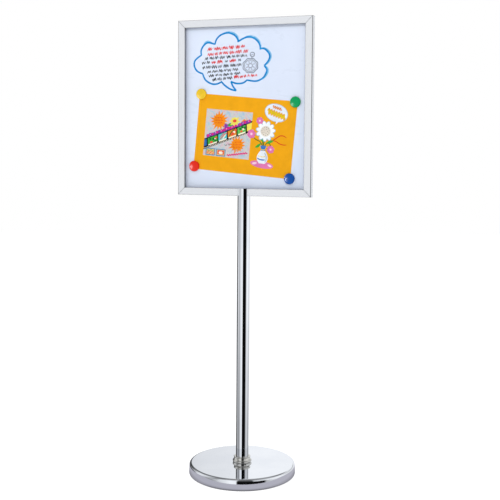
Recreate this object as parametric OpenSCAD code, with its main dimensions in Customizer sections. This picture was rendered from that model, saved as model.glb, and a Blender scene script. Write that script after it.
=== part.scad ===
// Sign stand for museum and exhibition halls: a magnetic notice board in a mitred aluminium
// frame, held in the forked top of a chromed post on a heavy round base.
// Frame of reference: origin on the floor at the middle of the base, +Z up, board faces -Y.
// Node names that begin with post_, frame_, rail_, corner_ and board_ turn together.

/* [Base] */
// widest diameter of the base cover
base_d = 325; // [280:5:360]
// height of the flat top of the base above the floor
base_h = 37; // [34:0.5:40]
// thickness of the pressed steel base cover
cover_t = 1; // [0.8:0.1:1.4]
// thickness of the cast weight inside the base
weight_t = 20; // [16:1:22]

/* [Post] */
// outside diameter of the post tube
post_d = 38.1; // [38:0.1:42]
// wall thickness of the post tube
post_wall = 1.2; // [1:0.1:2]
// thickness of the washer the post stands on
seat_t = 1.5; // [1:0.5:3]
// height of the foot collar
collar_h = 18.5; // [16:0.5:24]
// gap between the foot collar and the tube it slides on
collar_gap = 0.3; // [0.3:0.1:0.6]

/* [Frame] */
// outside width of the frame
frame_w = 420; // [380:1:520]
// outside height of the frame
frame_h = 523; // [480:1:640]
// depth of the frame from front to back
frame_depth = 24; // [24:0.5:26]
// height of the lower edge of the frame above the floor
frame_z = 853; // [760:1:900]
// width of the front face of the rails
rail_face = 22; // [21:0.5:24]
// wall thickness of the rails
rail_t = 1.4; // [1.2:0.1:1.6]
// how far the board face lies behind the front of the frame
recess = 13; // [12:0.5:14]

/* [Notice and magnets] */
// width of the notice sheet
sheet_w = 309; // [280:1:320]
// height of the notice sheet
sheet_h = 228; // [210:1:240]
// how far the notice sheet hangs out of level, clockwise
sheet_turn = 5.2; // [0:0.1:6]
// middle of the notice sheet above the lower edge of the frame
sheet_z = 179; // [172:1:190]
// diameter of a round magnet
magnet_d = 32; // [28:1:34]
// thickness of a round magnet
magnet_h = 7; // [6:0.5:9]

/* [Colours] */
// plated steel
steel_color = "Gainsboro";
// cast and blackened parts
iron_color = "DimGray";
// rubber and nylon parts
rubber_color = "DarkSlateGray";
// satin aluminium of the frame
alloy_color = "Silver";
// white enamel of the board
board_color = "AliceBlue";
// notice sheet
sheet_color = "Orange";

/* [Hidden] */
$fn = 96;

// base levels, from the floor up
ring_h = 3.5;
cover_z = 2.5;
plate_t = 1.5;
plate_top = ring_h + plate_t;
weight_top = plate_top + weight_t;
plate_r = base_d / 2 - 10;
weight_r = base_d / 2 - 14;
boss_r = 32;
pocket_r = 20;
pocket_top = 18;

// side of the cover: a rounded shoulder and a rounded foot joined by a straight, slightly flared side
shoulder_r = 7.5;
shoulder_x = base_d / 2 - 8.4;
shoulder_z = base_h - shoulder_r;
bead_r = 5.5;
bead_x = base_d / 2 - bead_r;
bead_z = cover_z + bead_r;
side_run = shoulder_x - bead_x;
side_rise = shoulder_z - bead_z;
// angle of the side's outward normal above level
side_lean = atan2(side_rise, side_run) - acos((bead_r - shoulder_r) / norm([side_run, side_rise]));
lip_x = plate_r + 2.5;

// post
post_r = post_d / 2;
bore_r = post_r - post_wall;
post_foot = base_h + seat_t;
post_top = frame_z + rail_face;
slot_half = frame_depth / 2 + 0.1;
head_len = 45;
plug_len = 30;

// M12 bolt that clamps the base to the foot of the post
bolt_r = 6;
bolt_head_h = 7.5;
bolt_head_d = 20.8;
bolt_len = 45;
washer_t = 2.5;
bolt_head_top = pocket_top - 2 * washer_t;

// frame section, y from front to back
front_y = -frame_depth / 2;
rear_y = frame_depth / 2;
board_y = front_y + recess;
wing = 10.4;
board_t = rear_y - board_y - 3;
lip_reach = 8.6;
board_edge = wing + 1.1;
board_w = frame_w - 2 * board_edge;
board_h = frame_h - 2 * board_edge;
skin_t = 0.5;
back_t = 0.7;
mitre_gap = 0.05;

// corner keys and nut bar fill the hollow behind the front face
key_gap = 0.1;
key_w = wing - 2 * rail_t - 2 * key_gap;
key_y0 = board_y - rail_t + key_gap;
key_y1 = rear_y - rail_t - key_gap;
key_mid = rail_t + key_gap + key_w / 2;
key_leg = 32;
key_screw_at = 21;

// clamp screws in the rear ear
clamp_x = 6.5;
clamp_seat = rear_y + 2;
clamp_r = 2;

// display items
sheet_t = 0.3;
sheet_gap = 0.05;
sheet_y = board_y - sheet_gap;
magnet_y = sheet_y - sheet_t - sheet_gap;
// where each magnet sits: across from the middle, up from the lower edge of the frame
YELLOW = [-138, 304];
GREEN = [157.5, 277];
RED = [-160.5, 87];
BLUE = [141.5, 53];

// ---------- helpers ----------

// rectangle from corner to corner with all four corners rounded
module soft_rect(x0, y0, x1, y1, r) {
    translate([x0 + r, y0]) square([x1 - x0 - 2 * r, y1 - y0]);
    translate([x0, y0 + r]) square([x1 - x0, y1 - y0 - 2 * r]);
    for (x = [x0 + r, x1 - r], y = [y0 + r, y1 - r]) translate([x, y]) circle(r = r, $fn = 48);
}

module ring(r_in, r_out, z0, z1) {
    translate([0, 0, z0]) difference() {
        cylinder(r = r_out, h = z1 - z0);
        translate([0, 0, -1]) cylinder(r = r_in, h = z1 - z0 + 2);
    }
}

// screw with a flat cylindrical head and a hexagon socket; the head's seat is at z = 0
module socket_screw(r, len, head_r, head_h, key_r) {
    difference() {
        union() {
            translate([0, 0, -len]) cylinder(r = r, h = len, $fn = 48);
            cylinder(r = head_r, h = head_h, $fn = 48);
        }
        translate([0, 0, head_h - key_r]) cylinder(r = key_r, h = key_r + 1, $fn = 6);
    }
}

// turns +Z to +Y, for screws put in from behind
module from_behind(x, y, z) {
    translate([x, y, z]) rotate([-90, 0, 0]) children();
}

// points along an arc, from angle a0 to angle a1
function arc(mid, r, a0, a1, steps = 18) =
    [for (i = [0:steps]) let (a = a0 + (a1 - a0) * i / steps) mid + r * [cos(a), sin(a)]];

// the base cover's section from the flat top, round the shoulder and the foot, t in from outside
function cover_line(t) = concat(
    [[bolt_r + 1, base_h - t]],
    arc([shoulder_x, shoulder_z], shoulder_r - t, 90, side_lean),
    arc([bead_x, bead_z], bead_r - t, side_lean, -90),
    [[lip_x, cover_z + t]]
);

function reversed(list) = [for (i = [len(list) - 1:-1:0]) list[i]];

// ---------- base ----------

module base_cover() {
    color(steel_color) rotate_extrude($fn = 180)
        polygon(concat(cover_line(0), reversed(cover_line(cover_t))));
}

module base_weight() {
    chamfer = 3;
    color(iron_color) difference() {
        union() {
            translate([0, 0, plate_top]) cylinder(r = weight_r, h = weight_t - chamfer);
            translate([0, 0, weight_top - chamfer])
                cylinder(r1 = weight_r, r2 = weight_r - chamfer, h = chamfer);
            cylinder(r = boss_r, h = base_h - cover_t);
        }
        translate([0, 0, -1]) cylinder(r = weight_r, h = plate_top + 1);
        cylinder(r = pocket_r, h = pocket_top);
        cylinder(r = bolt_r + 0.75, h = base_h + 1);
        plate_screw_places() translate([0, 0, plate_t]) cylinder(r = 2.5, h = 11, $fn = 48);
    }
}

// four screw places on the underside of the plate
module plate_screw_places() {
    for (a = [45:90:315]) rotate([0, 0, a]) translate([base_d * 0.34, 0, ring_h]) children();
}

module base_plate() {
    color(steel_color) difference() {
        ring(pocket_r, plate_r, ring_h, plate_top);
        plate_screw_places() translate([0, 0, -1]) cylinder(r = 2.7, h = plate_t + 2, $fn = 48);
    }
}

module base_plate_screws() {
    color(steel_color) plate_screw_places()
        rotate([180, 0, 0]) socket_screw(2.5, 11.5, 4.5, 2, 1.5);
}

module floor_ring() {
    color(rubber_color) rotate_extrude($fn = 180) {
        translate([plate_r - 12, 0]) square([13, ring_h]);
        translate([plate_r + 0.2, 1]) square([lip_x - plate_r - 0.4, ring_h + 1]);
        translate([lip_x - 1.2, 1]) circle(r = 1, $fn = 48);
    }
}

// ---------- post ----------

module post_tube() {
    color(steel_color) difference() {
        ring(bore_r, post_r, post_foot, post_top);
        frame_slot();
        rear_ear_holes(clamp_r + 2);
        head_screw_places() translate([0, 0, -1]) cylinder(r = 2.6, h = 4, $fn = 48);
    }
}

// room for the lower rail between the two ears
module frame_slot() {
    translate([-post_r - 1, -slot_half, frame_z]) cube([post_d + 2, 2 * slot_half, rail_face + 1]);
}

module rear_ear_holes(r) {
    for (x = [-clamp_x, clamp_x]) from_behind(x, clamp_seat, frame_z + key_mid)
        cylinder(r = r, h = post_r, $fn = 48);
}

// set screws that hold the head in the tube, put in from behind
module head_screw_places() {
    for (z = [-12, -30]) from_behind(0, bore_r, frame_z + z) children();
}

module post_head() {
    color(alloy_color) difference() {
        translate([0, 0, frame_z - head_len]) cylinder(r = bore_r, h = head_len + rail_face);
        frame_slot();
        rear_ear_holes(clamp_r + 2);
        for (x = [-clamp_x, clamp_x]) from_behind(x, 0, frame_z + key_mid)
            cylinder(r = clamp_r + 0.2, h = post_r, $fn = 48);
        head_screw_places() translate([0, 0, -10]) cylinder(r = 2.5, h = 12, $fn = 48);
    }
}

module post_head_screws() {
    color(steel_color) head_screw_places() difference() {
        translate([0, 0, -9]) cylinder(r = 2.5, h = 9.8, $fn = 48);
        translate([0, 0, -2]) cylinder(r = 1.4, h = 4, $fn = 6);
    }
}

module post_seat_washer() {
    color(rubber_color) ring(bolt_r + 0.5, post_r, base_h, post_foot);
}

module post_foot_plug() {
    color(iron_color) difference() {
        translate([0, 0, post_foot]) cylinder(r = bore_r, h = plug_len);
        translate([0, 0, post_foot - 1]) cylinder(r = bolt_r, h = plug_len + 2);
    }
}

module centre_bolt() {
    color(iron_color) {
        translate([0, 0, bolt_head_top]) cylinder(r = bolt_r, h = bolt_len);
        translate([0, 0, bolt_head_top - bolt_head_h])
            cylinder(d = bolt_head_d, h = bolt_head_h, $fn = 6);
    }
}

module centre_bolt_lock_washer() {
    color(steel_color) difference() {
        ring(bolt_r + 0.3, 10.4, bolt_head_top, bolt_head_top + washer_t);
        translate([0, -0.8, bolt_head_top - 1]) cube([12, 1.6, washer_t + 2]);
    }
}

module centre_bolt_washer() {
    color(steel_color) ring(bolt_r + 0.3, 12, bolt_head_top + washer_t, pocket_top);
}

// ---------- collar at the foot of the post ----------

module foot_collar() {
    inner = post_r + collar_gap;
    swell_r = 2.6;
    swell_x = post_r + 7.35;
    swell_z = 5.6;
    rim_r = 1.2;
    rim_x = post_r + 5.2;
    color(steel_color) translate([0, 0, base_h]) rotate_extrude($fn = 128) {
        polygon([
            [inner, 0],
            [post_r + 7.4, 0],
            [swell_x + swell_r, swell_z - 1],
            [swell_x + swell_r - 0.3, swell_z + 1.2],
            [rim_x + 0.2, collar_h - 2 * rim_r],
            [rim_x, collar_h],
            [inner, collar_h]
        ]);
        translate([swell_x, swell_z]) circle(r = swell_r, $fn = 48);
        translate([rim_x, collar_h - rim_r]) circle(r = rim_r, $fn = 48);
    }
}

// ---------- frame ----------

// section of a rail: x is front to back, y is from the outer edge towards the board
module rail_section() {
    round_r = 1.8;
    difference() {
        union() {
            soft_rect(front_y, 0, rear_y, wing, round_r);
            soft_rect(front_y, 0, board_y, rail_face, round_r);
            translate([board_y - round_r, 1]) square([round_r, rail_face - round_r - 1]);
            translate([rear_y - 3, wing - 1]) square([rail_t, lip_reach + 1]);
        }
        translate([front_y + rail_t, rail_t])
            square([recess - 2 * rail_t, rail_face - 2 * rail_t]);
        translate([board_y - rail_t - 1, rail_t])
            square([rear_y - board_y + 1, wing - 2 * rail_t]);
        translate([front_y + 2.6, -1]) square([0.8, 1.5]);
    }
}

// rail along +X, outer edge at z = 0, both ends mitred
module rail(len) {
    reach = rail_face + 1;
    intersection() {
        rotate([90, 0, 90]) linear_extrude(len) rail_section();
        rotate([90, 0, 0]) translate([0, 0, -frame_depth]) linear_extrude(2 * frame_depth)
            polygon([
                [mitre_gap - 1, -1],
                [len - mitre_gap + 1, -1],
                [len - mitre_gap - reach, reach],
                [mitre_gap + reach, reach]
            ]);
    }
}

module at_left() {
    translate([-frame_w / 2, 0, frame_z + frame_h]) rotate([0, 90, 0]) children();
}

module at_right() {
    translate([frame_w / 2, 0, frame_z]) rotate([0, -90, 0]) children();
}

module at_bottom() {
    translate([-frame_w / 2, 0, frame_z]) children();
}

module at_top() {
    translate([frame_w / 2, 0, frame_z + frame_h]) rotate([0, 180, 0]) children();
}

// the two holes for key screws near the ends of a rail
module key_holes(len) {
    for (x = [key_screw_at, len - key_screw_at]) from_behind(x, key_y1, key_mid)
        cylinder(r = 2.2, h = 4, $fn = 48);
}

module rail_bottom() {
    color(alloy_color) difference() {
        at_bottom() difference() {
            rail(frame_w);
            key_holes(frame_w);
        }
        for (x = [-clamp_x, clamp_x]) from_behind(x, key_y1, frame_z + key_mid)
            cylinder(r = clamp_r + 0.2, h = 4, $fn = 48);
    }
}

module rail_top() {
    color(alloy_color) at_top() difference() {
        rail(frame_w);
        key_holes(frame_w);
    }
}

module rail_left() {
    color(alloy_color) at_left() difference() {
        rail(frame_h);
        key_holes(frame_h);
    }
}

module rail_right() {
    color(alloy_color) at_right() difference() {
        rail(frame_h);
        key_holes(frame_h);
    }
}

// L-shaped key, its corner at the origin, legs along +X and +Z
module corner_key() {
    start = rail_t + key_gap;
    deep = key_y1 - key_y0;
    difference() {
        union() {
            translate([start, key_y0, start]) cube([key_leg, deep, key_w]);
            translate([start, key_y0, start]) cube([key_w, deep, key_leg]);
        }
        key_screw_spots() translate([0, 0, -key_bite() - 1]) cylinder(r = 2, h = 20, $fn = 48);
    }
}

function key_bite() = 7;

// where the two screws of a corner key go in, at the rear face of the rails
module key_screw_spots() {
    from_behind(key_screw_at, rear_y, key_mid) children();
    from_behind(key_mid, rear_y, key_screw_at) children();
}

module corner_key_top_left() {
    color(iron_color) at_left() corner_key();
}

module corner_key_top_right() {
    color(iron_color) at_top() corner_key();
}

module corner_key_bottom_left() {
    color(iron_color) at_bottom() corner_key();
}

module corner_key_bottom_right() {
    color(iron_color) at_right() corner_key();
}

module corner_key_screws() {
    color(steel_color) {
        at_left() key_screw_spots() key_screw();
        at_top() key_screw_spots() key_screw();
        at_bottom() key_screw_spots() key_screw();
        at_right() key_screw_spots() key_screw();
    }
}

module key_screw() {
    socket_screw(2, key_bite(), 3.5, 1.8, 1.2);
}

module rail_nut_bar() {
    bar_w = 46;
    color(iron_color) difference() {
        translate([-bar_w / 2, key_y0, frame_z + rail_t + key_gap])
            cube([bar_w, key_y1 - key_y0, key_w]);
        for (x = [-clamp_x, clamp_x]) from_behind(x, key_y0 - 1, frame_z + key_mid)
            cylinder(r = clamp_r, h = frame_depth, $fn = 48);
    }
}

module frame_clamp_screws() {
    color(steel_color) for (x = [-clamp_x, clamp_x])
        from_behind(x, clamp_seat, frame_z + key_mid) socket_screw(clamp_r, 12, 3.5, 3.2, 1.5);
}

// ---------- board ----------

module board_layer(y0, y1) {
    translate([-board_w / 2, y0, frame_z + board_edge]) cube([board_w, y1 - y0, board_h]);
}

module board_sheet() {
    color(board_color) board_layer(board_y, board_y + skin_t);
}

module board_core() {
    color("Tan") board_layer(board_y + skin_t, board_y + board_t - back_t);
}

module board_back() {
    color(alloy_color) board_layer(board_y + board_t - back_t, board_y + board_t);
}

// ---------- notice and magnets ----------

module notice_sheet() {
    color(sheet_color) translate([0, sheet_y - sheet_t, frame_z + sheet_z])
        rotate([0, sheet_turn, 0]) translate([-sheet_w / 2, 0, -sheet_h / 2])
            cube([sheet_w, sheet_t, sheet_h]);
}

module magnet_at(place) {
    translate([place[0], magnet_y, frame_z + place[1]]) rotate([90, 0, 0]) children();
}

// cap with a rounded edge and a slightly domed face, open at the back for the disc
module magnet_cap() {
    r = magnet_d / 2;
    edge = 2.5;
    dome = 1;
    dome_r = (pow(r - edge, 2) + dome * dome) / (2 * dome);
    side = magnet_h - dome;
    difference() {
        rotate_extrude($fn = 96) {
            square([r, side - edge]);
            square([r - edge, side]);
            translate([r - edge, side - edge]) circle(r = edge, $fn = 48);
            intersection() {
                translate([0, magnet_h - dome_r]) circle(r = dome_r, $fn = 360);
                translate([0, 1]) square([r - edge, magnet_h]);
            }
        }
        translate([0, 0, -1]) cylinder(r = magnet_disc_r() + 0.1, h = 4.1);
    }
}

function magnet_disc_r() = magnet_d / 2 - 3;

module magnet_disc() {
    cylinder(r = magnet_disc_r(), h = 3);
}

module magnet_yellow_cap() {
    color("Gold") magnet_at(YELLOW) magnet_cap();
}

module magnet_yellow_disc() {
    color(iron_color) magnet_at(YELLOW) magnet_disc();
}

module magnet_green_cap() {
    color("SeaGreen") magnet_at(GREEN) magnet_cap();
}

module magnet_green_disc() {
    color(iron_color) magnet_at(GREEN) magnet_disc();
}

module magnet_red_cap() {
    color("Crimson") magnet_at(RED) magnet_cap();
}

module magnet_red_disc() {
    color(iron_color) magnet_at(RED) magnet_disc();
}

module magnet_blue_cap() {
    color("DodgerBlue") magnet_at(BLUE) magnet_cap();
}

module magnet_blue_disc() {
    color(iron_color) magnet_at(BLUE) magnet_disc();
}

base_cover();
base_weight();
base_plate();
base_plate_screws();
floor_ring();
post_tube();
post_seat_washer();
post_foot_plug();
centre_bolt();
centre_bolt_washer();
centre_bolt_lock_washer();
foot_collar();
post_head();
post_head_screws();
frame_clamp_screws();
rail_nut_bar();
rail_top();
rail_bottom();
rail_left();
rail_right();
corner_key_top_left();
corner_key_top_right();
corner_key_bottom_left();
corner_key_bottom_right();
corner_key_screws();
board_sheet();
board_core();
board_back();
notice_sheet();
magnet_yellow_cap();
magnet_yellow_disc();
magnet_green_cap();
magnet_green_disc();
magnet_red_cap();
magnet_red_disc();
magnet_blue_cap();
magnet_blue_disc();
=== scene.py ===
import math
import random

import bpy
from mathutils import Matrix, Vector


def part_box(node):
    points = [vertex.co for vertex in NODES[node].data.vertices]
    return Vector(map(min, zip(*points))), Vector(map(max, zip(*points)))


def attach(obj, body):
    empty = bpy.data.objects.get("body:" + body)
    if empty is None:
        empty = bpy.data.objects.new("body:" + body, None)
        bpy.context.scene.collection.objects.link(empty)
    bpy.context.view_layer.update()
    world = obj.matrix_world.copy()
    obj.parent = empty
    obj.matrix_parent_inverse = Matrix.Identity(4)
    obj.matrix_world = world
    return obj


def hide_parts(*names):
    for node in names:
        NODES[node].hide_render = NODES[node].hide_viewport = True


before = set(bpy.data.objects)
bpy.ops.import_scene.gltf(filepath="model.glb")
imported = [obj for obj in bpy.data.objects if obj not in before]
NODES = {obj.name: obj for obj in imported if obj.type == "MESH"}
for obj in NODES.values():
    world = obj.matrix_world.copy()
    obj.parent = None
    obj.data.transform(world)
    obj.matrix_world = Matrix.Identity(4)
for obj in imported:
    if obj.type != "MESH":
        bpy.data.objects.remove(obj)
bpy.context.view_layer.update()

MM = 0.001
UM = 0.000001

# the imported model's plain materials carry the record's slot names; finer ones take their place
SLOT_OF = {name: node.material_slots[0].material.name for name, node in NODES.items()}
for plain in list(bpy.data.materials):
    bpy.data.materials.remove(plain)


# ---------- places taken from the CAD ----------

def low(node):
    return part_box(node)[0]


def high(node):
    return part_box(node)[1]


FRAME_FOOT = low("rail_bottom").z
FRAME_TOP = high("rail_top").z
FRAME_MIDDLE = (FRAME_FOOT + FRAME_TOP) / 2
FRAME_SIDE = high("rail_right").x
FRAME_FRONT = low("rail_bottom").y
BOARD_FACE = low("board_sheet").y
SHEET_LOW, SHEET_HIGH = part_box("notice_sheet")
SHEET_FACE = SHEET_LOW.y
SHEET_X = (SHEET_LOW.x + SHEET_HIGH.x) / 2
SHEET_Z = (SHEET_LOW.z + SHEET_HIGH.z) / 2
SHEET_TURN = math.radians(5.2)
BASE_R = high("base_cover").x
BASE_TOP = high("base_cover").z
BASE_FOOT = low("base_cover").z
POST_R = high("post_tube").x
POST_FOOT = low("post_tube").z
POST_TOP = high("post_tube").z
COLLAR_LOW, COLLAR_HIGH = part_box("foot_collar")
CLAMP_LOW, CLAMP_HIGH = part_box("frame_clamp_screws")
RAILS = ("rail_top", "rail_bottom", "rail_left", "rail_right")


def on_board(x, h, out=0.0):
    """Millimetres right and up from the middle of the frame, to metres on the board."""
    return Vector((x * MM, BOARD_FACE - out * MM, FRAME_MIDDLE + h * MM))


def on_sheet(u, v, out=0.0):
    """Millimetres right and up from the notice's middle, to metres on the turned notice."""
    c, s = math.cos(SHEET_TURN), math.sin(SHEET_TURN)
    x, z = SHEET_X + (u * c + v * s) * MM, SHEET_Z + (v * c - u * s) * MM
    return Vector((x, SHEET_FACE - out * MM, z))


# ---------- materials ----------

def linear(r, g, b):
    def one(c):
        c /= 255
        return c / 12.92 if c <= 0.04045 else ((c + 0.055) / 1.055) ** 2.4
    return (one(r), one(g), one(b), 1.0)


def scaled(color, k):
    return tuple(min(1.0, c * k) for c in color[:3]) + (1.0,)


class Nodes:
    """Short calls that make the nodes of one tree."""

    def __init__(self, tree):
        self.tree = tree

    def node(self, kind, inputs=None, **props):
        n = self.tree.nodes.new("ShaderNode" + kind)
        for key, value in props.items():
            setattr(n, key, value)
        for key, value in (inputs or {}).items():
            if isinstance(value, bpy.types.NodeSocket):
                self.tree.links.new(value, n.inputs[key])
            else:
                n.inputs[key].default_value = value
        return n

    def span(self, fac, lo, hi, start=0.35, end=0.65):
        """lo up to start, hi from end, and even between."""
        return self.node("MapRange", {"Value": fac, "From Min": start, "From Max": end,
                                      "To Min": lo, "To Max": hi}).outputs["Result"]

    def ramp(self, fac, stops):
        n = self.node("ValToRGB", {"Fac": fac})
        while len(n.color_ramp.elements) < len(stops):
            n.color_ramp.elements.new(0.5)
        for e, (at, color) in zip(n.color_ramp.elements, stops):
            e.position, e.color = at, color
        return n.outputs["Color"]

    def mixed(self, fac, a, b):
        factor, first, second = 0, 6, 7  # the sockets of a Mix node that mixes colours
        return self.node("Mix", {factor: fac, first: a, second: b}, data_type="RGBA").outputs[2]

    def math(self, operation, a, b=0.0):
        return self.node("Math", {0: a, 1: b}, operation=operation).outputs[0]


class Surface(Nodes):
    """A procedural material: a Principled shader and the nodes that feed it, in the object's own space."""

    def __init__(self, name, **sockets):
        self.material = bpy.data.materials.new(name)
        self.material.use_nodes = True
        super().__init__(self.material.node_tree)
        self.shader = self.tree.nodes["Principled BSDF"]
        for key, value in sockets.items():
            self.shader.inputs[key.replace("_", " ")].default_value = value
        self.coords = self.node("TexCoord").outputs["Object"]
        self.normal = None

    def noise(self, scale, stretch=None, detail=3.0, rough=0.55, distortion=0.0):
        place = self.coords
        if stretch:
            place = self.node("Mapping", {"Vector": place, "Scale": stretch}).outputs["Vector"]
        return self.node("TexNoise", {"Vector": place, "Scale": scale, "Detail": detail,
                                      "Roughness": rough, "Distortion": distortion}).outputs["Fac"]

    def cells(self, scale, output):
        return self.node("TexVoronoi", {"Vector": self.coords, "Scale": scale}).outputs[output]

    def color(self, socket):
        self.tree.links.new(socket, self.shader.inputs["Base Color"])
        return self

    def rough(self, socket):
        self.tree.links.new(socket, self.shader.inputs["Roughness"])
        return self

    def bump(self, height, depth, strength=1.0):
        inputs = {"Height": height, "Distance": depth, "Strength": strength}
        if self.normal:
            inputs["Normal"] = self.normal
        self.normal = self.node("Bump", inputs).outputs["Normal"]
        self.tree.links.new(self.normal, self.shader.inputs["Normal"])
        return self


def chrome(name="bright_chrome", dull=(0.80, 0.815, 0.845, 1), clear=(0.875, 0.885, 0.90, 1)):
    s = Surface(name, Metallic=1.0)
    s.color(s.ramp(s.noise(9, detail=4), [(0.3, dull), (0.7, clear)]))
    smudge = s.noise(26, detail=5, rough=0.7, distortion=0.4)
    s.rough(s.span(smudge, 0.022, 0.07, 0.42, 0.72))
    s.bump(s.noise(1400, detail=2), 1.5 * UM, 0.6)
    return s.material


def satin_aluminium(name, along):
    """Anodised aluminium: the extrusion's lines along one axis, dark mitres, painted shade on the recess
    walls and a painted dark reflection along the rounded front edge.
    """
    stretch = tuple(6.0 if axis == along else 520.0 for axis in "xyz")
    s = Surface(name, Metallic=0.72)
    lines = s.noise(1.0, stretch, detail=4, rough=0.6)
    cloud = s.noise(7, detail=3)
    base = s.ramp(lines, [(0.25, (0.775, 0.78, 0.795, 1)), (0.75, (0.835, 0.84, 0.85, 1))])
    base = s.mixed(s.span(cloud, 0.0, 0.18), base, (0.74, 0.75, 0.775, 1))
    recess, mitre_line, edge_reflection_width = 21.3 * MM, 0.7 * MM, 1.7 * MM
    axes = s.node("SeparateXYZ", {"Vector": s.coords}).outputs
    x = s.math("ABSOLUTE", axes["X"])
    z = s.math("ABSOLUTE", s.math("SUBTRACT", axes["Z"], FRAME_MIDDLE))
    half = FRAME_TOP - FRAME_MIDDLE
    # painted shade: the inner walls of the recess are coloured dark grey to stand in for the shade inside the
    # recess
    recess_shade = s.math("MULTIPLY", s.math("LESS_THAN", x, FRAME_SIDE - recess),
                   s.math("LESS_THAN", z, half - recess))
    recess_shade = s.math("MULTIPLY", recess_shade, s.math("GREATER_THAN", axes["Y"], FRAME_FRONT + 1.0 * MM))
    base = s.mixed(recess_shade, base, (0.25, 0.255, 0.27, 1))
    edge_x, edge_z = s.math("SUBTRACT", FRAME_SIDE, x), s.math("SUBTRACT", half, z)
    mitre = s.math("LESS_THAN", s.math("ABSOLUTE", s.math("SUBTRACT", edge_x, edge_z)), mitre_line)
    base = s.mixed(mitre, base, (0.16, 0.16, 0.17, 1))
    # painted reflection: a dark band along the rounded front-outer edge stands in for the dark flag mirrored
    # in that rounding
    edge = s.math("MULTIPLY", s.math("LESS_THAN", edge_x, edge_reflection_width),
                  s.math("LESS_THAN", axes["Y"], FRAME_FRONT + edge_reflection_width))
    s.color(s.mixed(edge, base, (0.22, 0.22, 0.225, 1)))
    s.rough(s.span(lines, 0.07, 0.15, 0.25, 0.75))
    s.bump(lines, 4 * UM, 0.7)
    s.bump(s.noise(240, detail=2), 4 * UM, 0.4)
    return s.material


def white_enamel():
    s = Surface("white_enamel", Coat_Weight=0.25, Coat_Roughness=0.09, Specular_IOR_Level=0.4)
    base = s.ramp(s.noise(5, detail=3), [(0.35, linear(217, 226, 243)), (0.65, linear(222, 230, 246))])
    smear = s.noise(1.0, (9, 9, 26), detail=5, rough=0.62, distortion=0.8)
    s.color(s.mixed(s.span(smear, 0.0, 0.22, 0.60, 0.78), base, linear(205, 215, 235)))
    s.rough(s.span(smear, 0.24, 0.40))
    s.bump(s.noise(260, detail=2), 10 * UM, 0.5)
    s.bump(s.noise(900, detail=2), 3 * UM, 0.4)
    return s.material


def galvanised():
    s = Surface("galvanised_back", Metallic=1.0)
    spangle = s.cells(95, "Color")
    grey = s.node("SeparateColor", {"Color": spangle}).outputs["Red"]
    s.color(s.ramp(grey, [(0.0, (0.42, 0.44, 0.46, 1)), (0.5, (0.53, 0.55, 0.57, 1)),
                          (1.0, (0.66, 0.68, 0.70, 1))]))
    s.rough(s.span(grey, 0.34, 0.56, 0.0, 1.0))
    s.bump(s.noise(300, detail=4), 10 * UM, 0.5)
    s.bump(grey, 10 * UM, 0.4)
    return s.material


def printed_paper(name, color, spread=0.05):
    s = Surface(name, Coat_Weight=0.04, Coat_Roughness=0.22, Specular_IOR_Level=0.10)
    body = s.ramp(s.noise(38, detail=4), [(0.3, scaled(color, 1 - spread)),
                                          (0.7, scaled(color, 1 + spread))])
    specks = s.noise(1500, detail=2)
    s.color(s.mixed(s.span(specks, 0.0, 0.10, 0.55, 0.8), body, scaled(color, 0.72)))
    s.rough(s.span(s.noise(420, detail=3), 0.42, 0.62))
    s.bump(s.noise(1.0, (700, 700, 2400), detail=3), 8 * UM, 0.5)
    return s.material


def pastel_ground():
    """The picture's ground: washes of grey, lilac, blue and cream."""
    s = Surface("pastel_ground", Coat_Weight=0.08, Coat_Roughness=0.22, Specular_IOR_Level=0.18)
    wash = s.noise(62, detail=4, rough=0.6, distortion=1.2)
    base = s.ramp(wash, [(0.34, linear(166, 192, 216)), (0.44, linear(192, 204, 208)),
                         (0.52, linear(210, 204, 198)), (0.60, linear(220, 184, 196)),
                         (0.68, linear(184, 188, 220))])
    s.color(s.mixed(s.span(s.noise(240, detail=3), 0.0, 0.35, 0.5, 0.7), base, linear(150, 170, 186)))
    s.rough(s.span(s.noise(420, detail=3), 0.42, 0.62))
    s.bump(s.noise(1.0, (700, 700, 2400), detail=3), 8 * UM, 0.5)
    return s.material


def marker_ink(name, color, pale):
    """Board marker: darker where the nib lingered, paler where it ran dry."""
    s = Surface(name, Coat_Weight=0.03, Coat_Roughness=0.2, Specular_IOR_Level=0.08)
    load = s.noise(70, detail=4, rough=0.65, distortion=0.6)
    s.color(s.ramp(load, [(0.30, scaled(color, 0.86)), (0.55, color), (0.78, pale)]))
    s.rough(s.span(load, 0.34, 0.55))
    s.bump(s.noise(1.0, (500, 500, 1900), detail=3), 10 * UM, 0.5)
    return s.material


def cap_plastic(name, color):
    s = Surface(name, Coat_Weight=0.04, Coat_Roughness=0.06, Specular_IOR_Level=0.14)
    s.color(s.ramp(s.noise(110, detail=4), [(0.3, scaled(color, 0.93)), (0.7, scaled(color, 1.06))]))
    scuff = s.noise(1.0, (160, 160, 900), detail=4, distortion=0.6)
    s.rough(s.span(scuff, 0.16, 0.30, 0.45, 0.75))
    s.bump(s.noise(700, detail=3), 7 * UM, 0.5)
    return s.material


def zinc_steel():
    s = Surface("zinc_steel", Metallic=1.0)
    patch = s.noise(60, detail=4, rough=0.6)
    s.color(s.ramp(patch, [(0.35, (0.52, 0.53, 0.55, 1)), (0.55, (0.62, 0.63, 0.65, 1)),
                           (0.7, (0.66, 0.63, 0.55, 1))]))
    s.rough(s.span(s.noise(300, detail=3), 0.26, 0.48))
    s.bump(s.noise(900, detail=3), 8 * UM, 0.6)
    return s.material


def cast_metal(name, dark, light, metal, depth, grain):
    s = Surface(name, Metallic=metal)
    skin = s.noise(grain, detail=6, rough=0.7)
    s.color(s.ramp(skin, [(0.35, dark), (0.65, light)]))
    s.rough(s.span(s.noise(grain * 0.3, detail=4), 0.52, 0.82))
    s.bump(skin, depth, 0.9)
    s.bump(s.cells(grain * 0.6, "Distance"), depth * 0.5, 0.4)
    return s.material


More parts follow.
